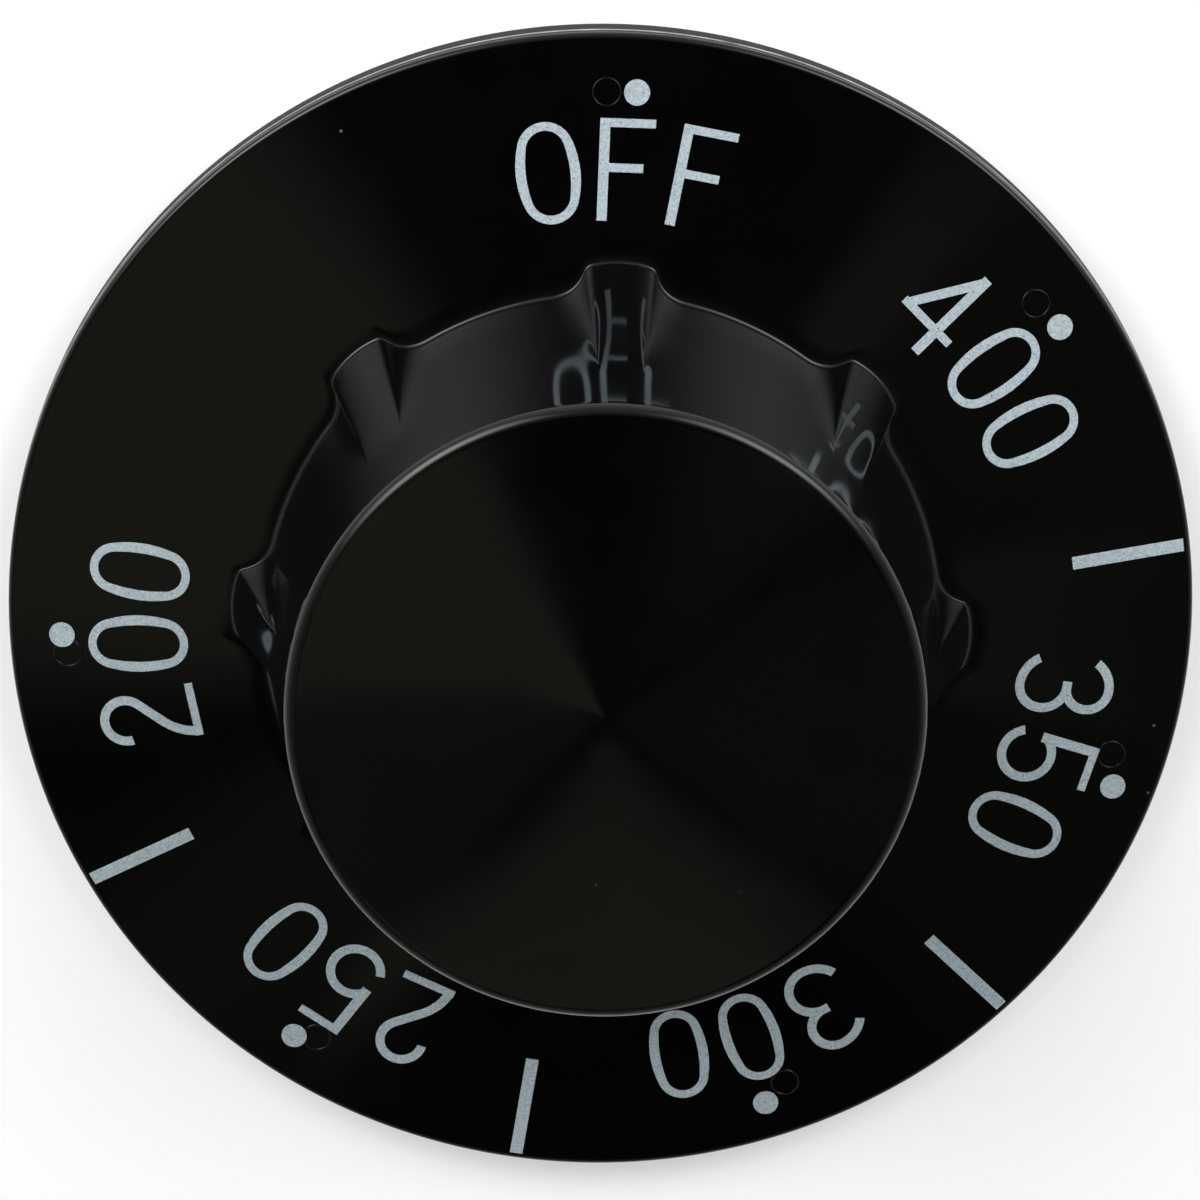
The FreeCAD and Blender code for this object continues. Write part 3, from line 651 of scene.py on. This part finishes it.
def soft_box(name, clock, lean, width, depth, radiance, fade=1.0, twist=0, tint=(1, 1, 1)):
    """Panel that faces the knob, at an angle clockwise from OFF and a lean from the axis. Width and depth
    are angles seen from the knob, all in degrees. The panel fades to its edges over a share of its half
    width, and twist turns it about its own middle."""
    light = bpy.data.lights.new(name, "AREA")
    light.shape = "RECTANGLE"
    light.size = 2 * panel_distance * math.tan(math.radians(width / 2))
    light.size_y = 2 * panel_distance * math.tan(math.radians(depth / 2))
    light.energy = math.pi * light.size * light.size_y * radiance
    light.color = tint
    light.use_nodes = True
    nodes, link = light.node_tree.nodes, light.node_tree.links.new
    place = nodes.new("ShaderNodeNewGeometry")
    split = nodes.new("ShaderNodeSeparateXYZ")
    link(place.outputs["Parametric"], split.inputs["Vector"])
    both = nodes.new("ShaderNodeMath")
    both.operation = "MULTIPLY"
    for index, axis in enumerate("XY"):
        offset = nodes.new("ShaderNodeMath")
        offset.operation = "SUBTRACT"
        offset.inputs[1].default_value = 0.5
        reach = nodes.new("ShaderNodeMath")
        reach.operation = "ABSOLUTE"
        soften = nodes.new("ShaderNodeMapRange")
        soften.interpolation_type = "SMOOTHSTEP"
        soften.inputs["From Min"].default_value = 0.5
        soften.inputs["From Max"].default_value = 0.5 - fade / 2
        link(split.outputs[axis], offset.inputs[0])
        link(offset.outputs["Value"], reach.inputs[0])
        link(reach.outputs["Value"], soften.inputs["Value"])
        link(soften.outputs["Result"], both.inputs[index])
    link(both.outputs["Value"], nodes["Emission"].inputs["Strength"])
    lamp = bpy.data.objects.new(name, light)
    stand = Matrix.Rotation(-math.radians(clock), 4, "Z") @ Matrix.Rotation(-math.radians(lean), 4, "X")
    stand = stand @ Matrix.Translation((0, 0, panel_distance)) @ Matrix.Rotation(math.radians(twist), 4, "Z")
    lamp.matrix_world = stand
    bpy.context.scene.collection.objects.link(lamp)


def dim_panel(name, across, up, width, depth, radiance, fade, twist):
    """Panel over the knob, in degrees across and up from the point seen by the camera in a level mirror."""
    way = mirror + right * math.tan(math.radians(across)) + mirror.cross(right) * math.tan(math.radians(up))
    clock = math.degrees(math.atan2(way.x, way.y))
    lean = math.degrees(math.atan2(math.hypot(way.x, way.y), way.z))
    warm = (1, 0.98, 0.75)
    soft_box(name, clock, lean, width, depth, radiance, fade, twist + clock, warm)


soft_box("left_box", clock=-46, lean=56, width=56, depth=62, radiance=8)
soft_box("right_box", clock=41, lean=54, width=54, depth=60, radiance=6.5)
dim_panel("left_panel", across=-16.5, up=7.7, width=28, depth=12, radiance=0.25, fade=0.35, twist=65)
dim_panel("corner_panel", across=-6.4, up=4.9, width=8, depth=8.3, radiance=0.27, fade=0.12, twist=24)
dim_panel("front_panel", across=-2.6, up=-12, width=18, depth=14, radiance=0.25, fade=0.2, twist=6)
dim_panel("right_panel", across=12.4, up=-1.2, width=18, depth=9, radiance=0.08, fade=0.2, twist=0)
dim_panel("far_panel", across=8.6, up=11, width=5, depth=20, radiance=0.16, fade=0.5, twist=-39)
dim_panel("near_panel", across=-9.5, up=-2, width=12, depth=7, radiance=0.1, fade=0.2, twist=0)
dim_panel("side_panel", across=17, up=0, width=14, depth=40, radiance=0.06, fade=0.3, twist=0)
dim_panel("low_panel", across=-14, up=-13, width=12, depth=14, radiance=0.1, fade=0.6, twist=0)

# The tent: dark near the point that the camera sees in a level mirror, and brighter the further from it
opening_angle, tent_angle, far_angle = (math.radians(angle) for angle in (22, 28, 100))
world = bpy.data.worlds.new("studio")
bpy.context.scene.world = world
world.use_nodes = True
nodes, link = world.node_tree.nodes, world.node_tree.links.new
nodes["Background"].inputs["Color"].default_value = (1, 1, 1, 1)
way = nodes.new("ShaderNodeTexCoord")
nearness = nodes.new("ShaderNodeVectorMath")
nearness.operation = "DOT_PRODUCT"
nearness.inputs[1].default_value = mirror
tent = nodes.new("ShaderNodeMapRange")
tent.inputs["From Min"].default_value = math.cos(tent_angle)
tent.inputs["From Max"].default_value = math.cos(far_angle)
tent.inputs["To Min"].default_value = 0.18
tent.inputs["To Max"].default_value = 0.9
opening = nodes.new("ShaderNodeMapRange")
opening.interpolation_type = "SMOOTHSTEP"
opening.inputs["From Min"].default_value = math.cos(opening_angle)
opening.inputs["From Max"].default_value = math.cos(tent_angle)
opening.inputs["To Min"].default_value = 0.05
both = nodes.new("ShaderNodeMath")
both.operation = "MULTIPLY"
link(way.outputs["Generated"], nearness.inputs[0])
link(nearness.outputs["Value"], tent.inputs["Value"])
link(nearness.outputs["Value"], opening.inputs["Value"])
link(tent.outputs["Result"], both.inputs[0])
link(opening.outputs["Result"], both.inputs[1])
link(both.outputs["Value"], nodes["Background"].inputs["Strength"])
